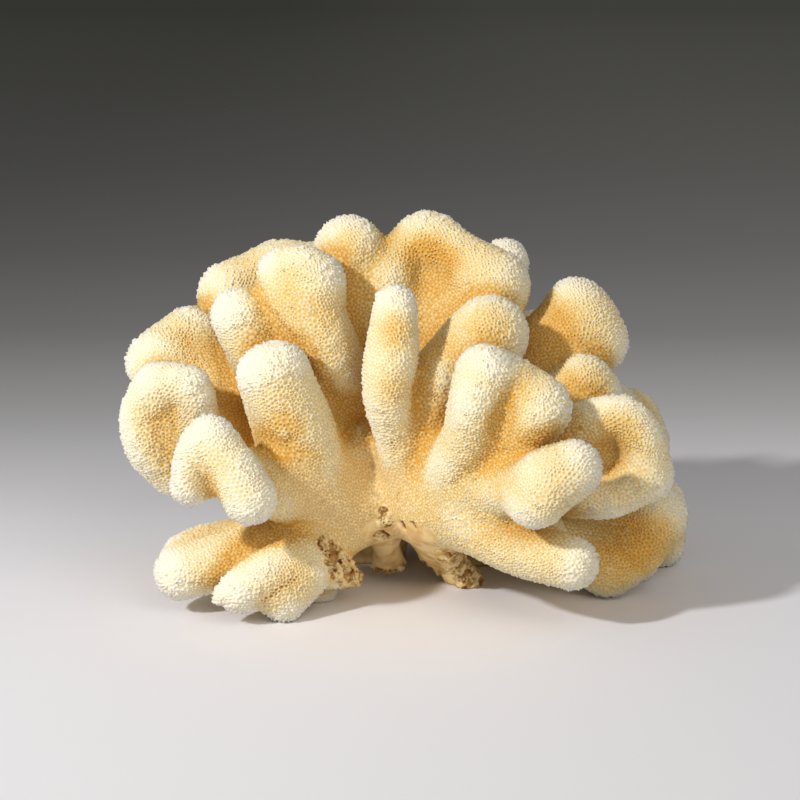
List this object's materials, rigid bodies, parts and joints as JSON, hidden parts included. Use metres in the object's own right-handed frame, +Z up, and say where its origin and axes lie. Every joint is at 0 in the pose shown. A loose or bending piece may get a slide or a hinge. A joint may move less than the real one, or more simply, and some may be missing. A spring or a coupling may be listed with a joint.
{
  "type": "cats paw coral skeleton",
  "caption": "Dried skeleton of a branching coral: a dome of blunt, knobbly, paw-like lobes that fan out from a broken holdfast it rests on.",
  "frame": {"origin": "on the ground, under the middle of the colony's bounding box", "axes": "+X to the right as seen from the front, along the colony's width; -Y out of the front; +Z up from the cut it rests on"},
  "size_m": [0.2015, 0.1527, 0.134],
  "materials": {
    "coral": "matte, finely pitted and spiny, cream tips over golden hollows",
    "broken_coral": "matte, rough broken skeleton, beige with brown specks"
  },
  "bodies": {
    "root": {"back_crown_paw": "coral", "back_left_foot": "coral", "back_left_high_paw": "coral", "back_left_low_paw": "coral", "back_left_mid_paw": "coral", "back_low_paw": "coral", "back_middle_paw": "coral", "back_right_foot": "coral", "back_right_high_paw": "coral", "back_right_lobe": "coral", "back_right_low_paw": "coral", "centre_finger": "coral", "centre_lobe": "coral", "crown_back_knob": "coral", "crown_fan": "coral", "crown_knob": "coral", "front_toes": "coral", "holdfast": "broken_coral", "holdfast_rubble": "broken_coral", "inner_left_finger": "coral", "left_high_fan": "coral", "left_low_fan": "coral", "left_paw": "coral", "left_stem": "coral", "long_finger": "coral", "lower_left_lobe": "coral", "right_fan": "coral", "right_front_paw": "coral", "right_high_lobe": "coral", "right_low_fan": "coral", "right_mid_lobe": "coral", "right_thumb": "coral", "upper_left_back_fan": "coral", "upper_left_paw": "coral"}
  },
  "joints": []
}
